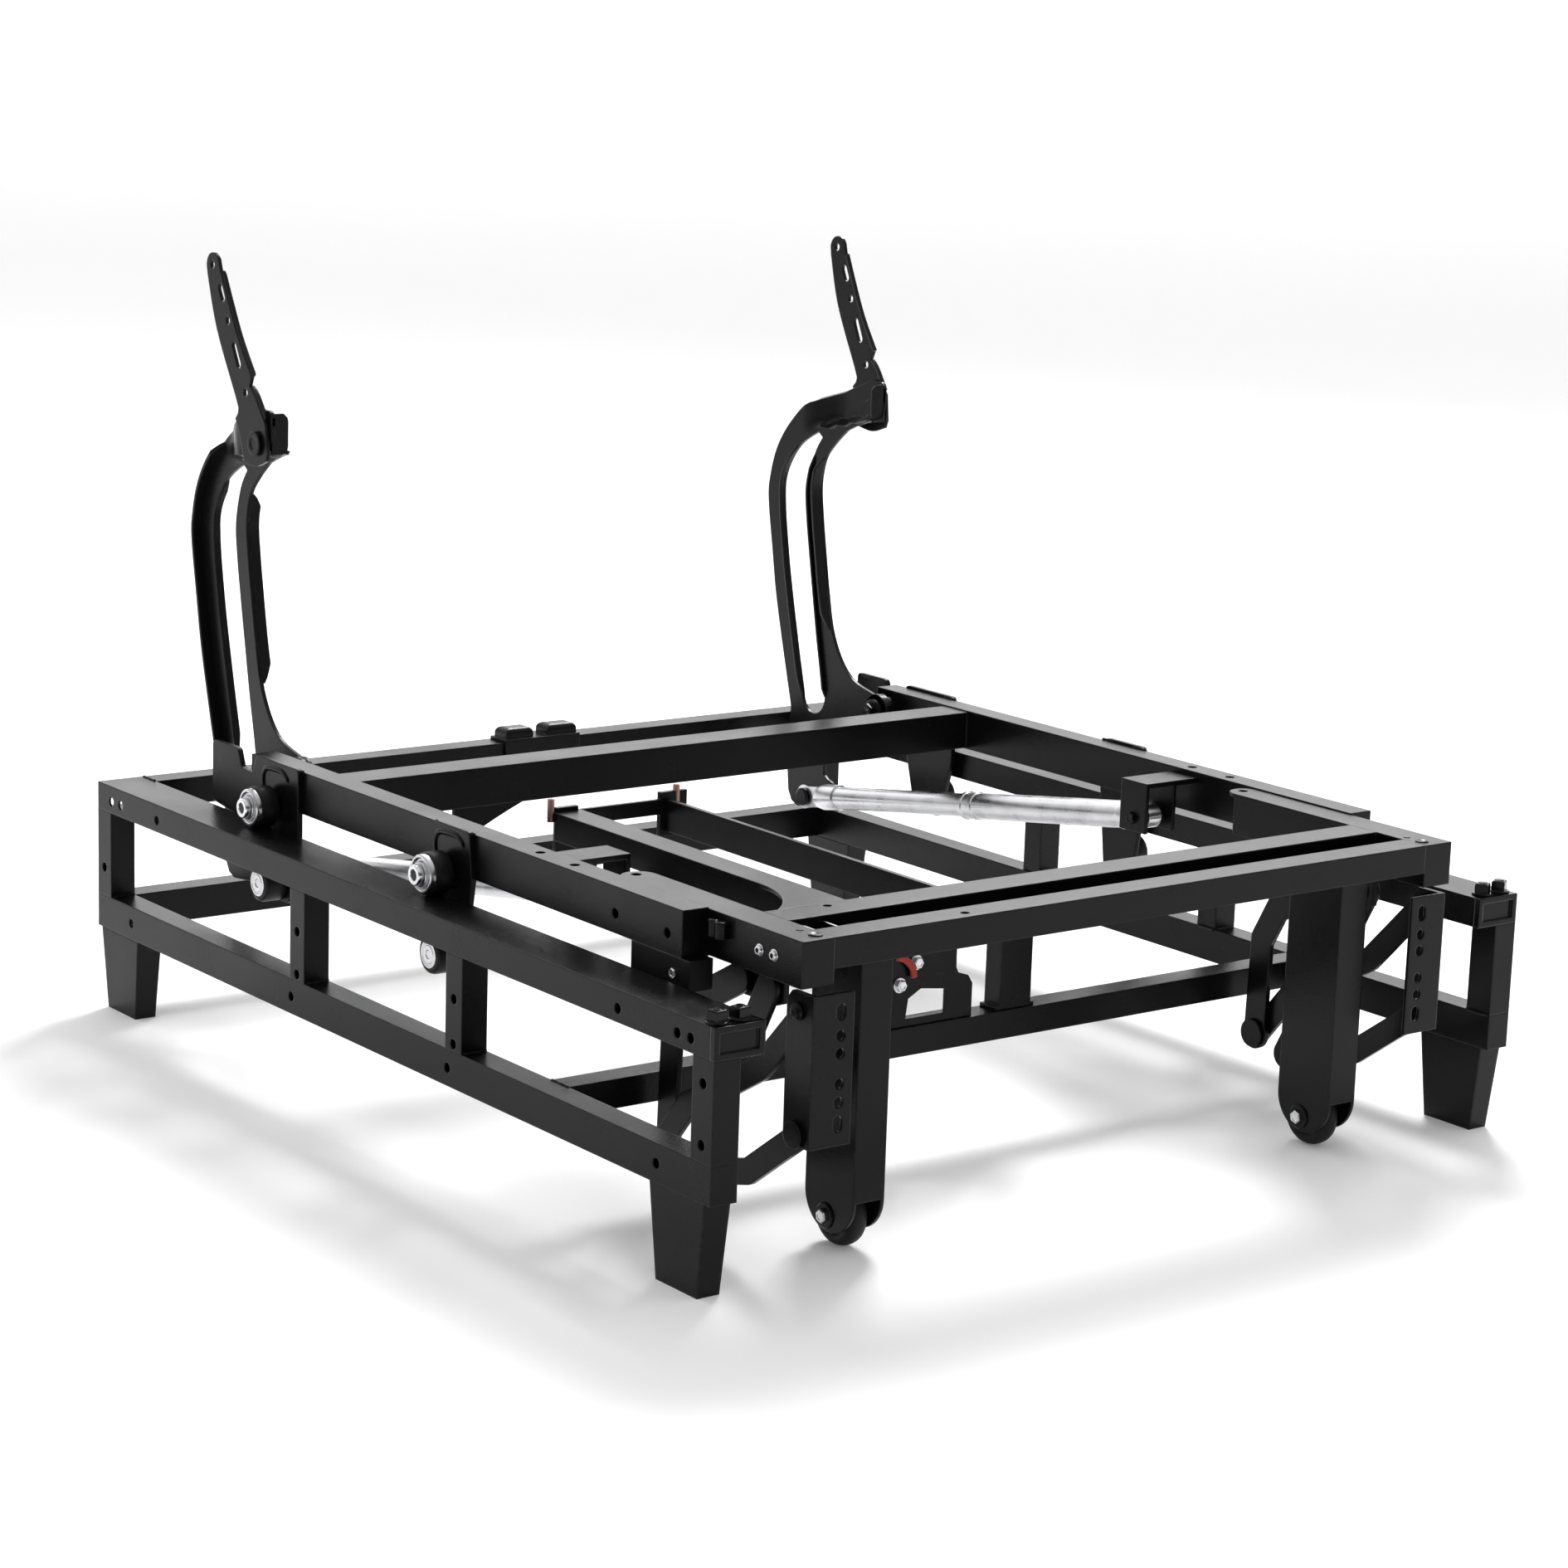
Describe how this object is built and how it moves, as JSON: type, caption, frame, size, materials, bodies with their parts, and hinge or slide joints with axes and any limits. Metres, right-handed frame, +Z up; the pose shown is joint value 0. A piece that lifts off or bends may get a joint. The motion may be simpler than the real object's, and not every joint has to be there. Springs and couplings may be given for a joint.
{
  "type": "power recliner seat mechanism",
  "caption": "Reclining seat mechanism: a rectangular base on feet, a carriage on rollers, tilting back arms with struts and a folding footrest linkage.",
  "frame": {"origin": "centre of the base at floor level", "axes": "+Z up, front with the footrest linkage towards -Y, X across the seat"},
  "size_m": [0.7, 0.804, 0.5845],
  "materials": {
    "frame_black": "satin",
    "carriage_black": "satin",
    "bracket_black": "satin",
    "arm_black": "satin",
    "link_black": "satin",
    "foot_black": "satin",
    "cap_black": "satin",
    "roller_zinc": "satin",
    "strut_zinc": "satin",
    "wheel_black": "satin"
  },
  "bodies": {
    "base": {"base_bottom_rails": "frame_black", "base_top_rails": "frame_black", "base_posts": "frame_black", "base_rear_rails": "frame_black", "base_middle_rail": "frame_black", "base_feet": "foot_black", "rail_end_caps": "cap_black", "motor_bracket": "bracket_black", "cross_post": "bracket_black", "rear_rail_bracket": "bracket_black"},
    "carriage": {"seat_rails": "carriage_black", "rear_cross_tube": "carriage_black", "rear_tube_gusset": "bracket_black", "carriage_arms": "carriage_black", "front_cross_tubes": "carriage_black", "inner_bars": "carriage_black", "bar_brackets": "bracket_black", "roller_plates": "bracket_black", "guide_rollers": "roller_zinc", "wheel_legs": "carriage_black", "carriage_brackets": "bracket_black"},
    "left_front_roller": {"left_front_roller": "roller_zinc"},
    "left_rear_roller": {"left_rear_roller": "roller_zinc"},
    "left_wheel": {"left_wheel": "wheel_black"},
    "right_front_roller": {"right_front_roller": "roller_zinc"},
    "right_rear_roller": {"right_rear_roller": "roller_zinc"},
    "right_wheel": {"right_wheel": "wheel_black"},
    "left_back_arm": {"left_back_arm": "arm_black"},
    "left_arm_tip": {"left_arm_tip": "arm_black"},
    "left_strut_tube": {"left_strut_tube": "strut_zinc"},
    "left_strut_rod": {"left_strut_rod": "strut_zinc"},
    "left_front_link": {"left_front_link": "link_black"},
    "left_rear_link": {"left_rear_link": "link_black"},
    "left_long_link": {"left_long_link": "link_black"},
    "left_lower_link": {"left_lower_link": "link_black"},
    "left_footrest_bracket": {"left_footrest_bracket": "link_black"},
    "right_back_arm": {"right_back_arm": "arm_black"},
    "right_arm_tip": {"right_arm_tip": "arm_black"},
    "right_strut_tube": {"right_strut_tube": "strut_zinc"},
    "right_strut_rod": {"right_strut_rod": "strut_zinc"},
    "right_front_link": {"right_front_link": "link_black"},
    "right_rear_link": {"right_rear_link": "link_black"},
    "right_long_link": {"right_long_link": "link_black"},
    "right_lower_link": {"right_lower_link": "link_black"},
    "right_footrest_bracket": {"right_footrest_bracket": "link_black"}
  },
  "joints": [
    {"name": "carriage_slide", "type": "slide", "parent": "base", "child": "carriage", "axis": [0, -1, 0], "range_m": [0, 0.12]},
    {"name": "left_front_roller_spin", "type": "hinge", "parent": "carriage", "child": "left_front_roller", "pos_m": [0, -0.031, 0.19], "axis": [-1, 0, 0], "continuous": true},
    {"name": "left_rear_roller_spin", "type": "hinge", "parent": "carriage", "child": "left_rear_roller", "pos_m": [0, 0.207, 0.19], "axis": [-1, 0, 0], "continuous": true},
    {"name": "left_wheel_spin", "type": "hinge", "parent": "carriage", "child": "left_wheel", "pos_m": [0, -0.352, 0.0215], "axis": [-1, 0, 0], "continuous": true},
    {"name": "right_front_roller_spin", "type": "hinge", "parent": "carriage", "child": "right_front_roller", "pos_m": [0, -0.031, 0.19], "axis": [-1, 0, 0], "continuous": true},
    {"name": "right_rear_roller_spin", "type": "hinge", "parent": "carriage", "child": "right_rear_roller", "pos_m": [0, 0.207, 0.19], "axis": [-1, 0, 0], "continuous": true},
    {"name": "right_wheel_spin", "type": "hinge", "parent": "carriage", "child": "right_wheel", "pos_m": [0, -0.352, 0.0215], "axis": [-1, 0, 0], "continuous": true},
    {"name": "left_back_arm_tilt", "type": "hinge", "parent": "carriage", "child": "left_back_arm", "pos_m": [0, 0.23, 0.204], "axis": [-1, 0, 0], "range_deg": [0, 30]},
    {"name": "left_arm_tip_tilt", "type": "hinge", "parent": "left_back_arm", "child": "left_arm_tip", "pos_m": [0, 0.269, 0.446], "axis": [-1, 0, 0], "range_deg": [-20, 20]},
    {"name": "left_strut_swing", "type": "hinge", "parent": "carriage", "child": "left_strut_tube", "pos_m": [0, -0.126, 0.188], "axis": [-1, 0, 0], "range_deg": [0, 4.5]},
    {"name": "left_strut_slide", "type": "slide", "parent": "left_strut_tube", "child": "left_strut_rod", "axis": [0, -0.9881, 0.154], "range_m": [0, 0.044]},
    {"name": "right_back_arm_tilt", "type": "hinge", "parent": "carriage", "child": "right_back_arm", "pos_m": [0, 0.23, 0.204], "axis": [-1, 0, 0], "range_deg": [0, 30]},
    {"name": "right_arm_tip_tilt", "type": "hinge", "parent": "right_back_arm", "child": "right_arm_tip", "pos_m": [0, 0.269, 0.446], "axis": [-1, 0, 0], "range_deg": [-20, 20]},
    {"name": "right_strut_swing", "type": "hinge", "parent": "carriage", "child": "right_strut_tube", "pos_m": [0, -0.126, 0.188], "axis": [-1, 0, 0], "range_deg": [0, 4.5]},
    {"name": "right_strut_slide", "type": "slide", "parent": "right_strut_tube", "child": "right_strut_rod", "axis": [0, -0.9881, 0.154], "range_m": [0, 0.044]},
    {"name": "left_footrest_lift", "type": "hinge", "parent": "carriage", "child": "left_front_link", "pos_m": [0, -0.34, 0.174], "axis": [-1, 0, 0], "range_deg": [0, 75]},
    {"name": "left_rear_link_turn", "type": "hinge", "parent": "carriage", "child": "left_rear_link", "pos_m": [0, -0.31, 0.174], "axis": [-1, 0, 0], "range_deg": [0, 54.3]},
    {"name": "left_long_link_turn", "type": "hinge", "parent": "left_front_link", "child": "left_long_link", "pos_m": [0, -0.301, 0.1], "axis": [-1, 0, 0], "range_deg": [-49.2, 0]},
    {"name": "left_lower_link_turn", "type": "hinge", "parent": "left_front_link", "child": "left_lower_link", "pos_m": [0, -0.268, 0.036], "axis": [-1, 0, 0], "range_deg": [-39.1, 0]},
    {"name": "left_footrest_bracket_turn", "type": "hinge", "parent": "left_long_link", "child": "left_footrest_bracket", "pos_m": [0, -0.387, 0.172], "axis": [-1, 0, 0], "range_deg": [0, 36.8]},
    {"name": "right_footrest_lift", "type": "hinge", "parent": "carriage", "child": "right_front_link", "pos_m": [0, -0.34, 0.174], "axis": [-1, 0, 0], "range_deg": [0, 75]},
    {"name": "right_rear_link_turn", "type": "hinge", "parent": "carriage", "child": "right_rear_link", "pos_m": [0, -0.31, 0.174], "axis": [-1, 0, 0], "range_deg": [0, 54.3]},
    {"name": "right_long_link_turn", "type": "hinge", "parent": "right_front_link", "child": "right_long_link", "pos_m": [0, -0.301, 0.1], "axis": [-1, 0, 0], "range_deg": [-49.2, 0]},
    {"name": "right_lower_link_turn", "type": "hinge", "parent": "right_front_link", "child": "right_lower_link", "pos_m": [0, -0.268, 0.036], "axis": [-1, 0, 0], "range_deg": [-39.1, 0]},
    {"name": "right_footrest_bracket_turn", "type": "hinge", "parent": "right_long_link", "child": "right_footrest_bracket", "pos_m": [0, -0.387, 0.172], "axis": [-1, 0, 0], "range_deg": [0, 36.8]}
  ],
  "couplings": [
    {"joint": "left_strut_swing", "follows": "left_back_arm_tilt", "ratio": 0.14334},
    {"joint": "left_strut_slide", "follows": "left_back_arm_tilt", "m_per_rad": 0.082132},
    {"joint": "right_back_arm_tilt", "follows": "left_back_arm_tilt", "ratio": 1},
    {"joint": "right_strut_swing", "follows": "left_back_arm_tilt", "ratio": 0.14334},
    {"joint": "right_strut_slide", "follows": "left_back_arm_tilt", "m_per_rad": 0.082132},
    {"joint": "left_rear_link_turn", "follows": "left_footrest_lift", "ratio": 0.7156},
    {"joint": "left_long_link_turn", "follows": "left_footrest_lift", "ratio": -0.6479},
    {"joint": "left_lower_link_turn", "follows": "left_footrest_lift", "ratio": -0.5127},
    {"joint": "left_footrest_bracket_turn", "follows": "left_footrest_lift", "ratio": 0.483},
    {"joint": "right_footrest_lift", "follows": "left_footrest_lift", "ratio": 1},
    {"joint": "right_rear_link_turn", "follows": "left_footrest_lift", "ratio": 0.7156},
    {"joint": "right_long_link_turn", "follows": "left_footrest_lift", "ratio": -0.6479},
    {"joint": "right_lower_link_turn", "follows": "left_footrest_lift", "ratio": -0.5127},
    {"joint": "right_footrest_bracket_turn", "follows": "left_footrest_lift", "ratio": 0.483}
  ]
}
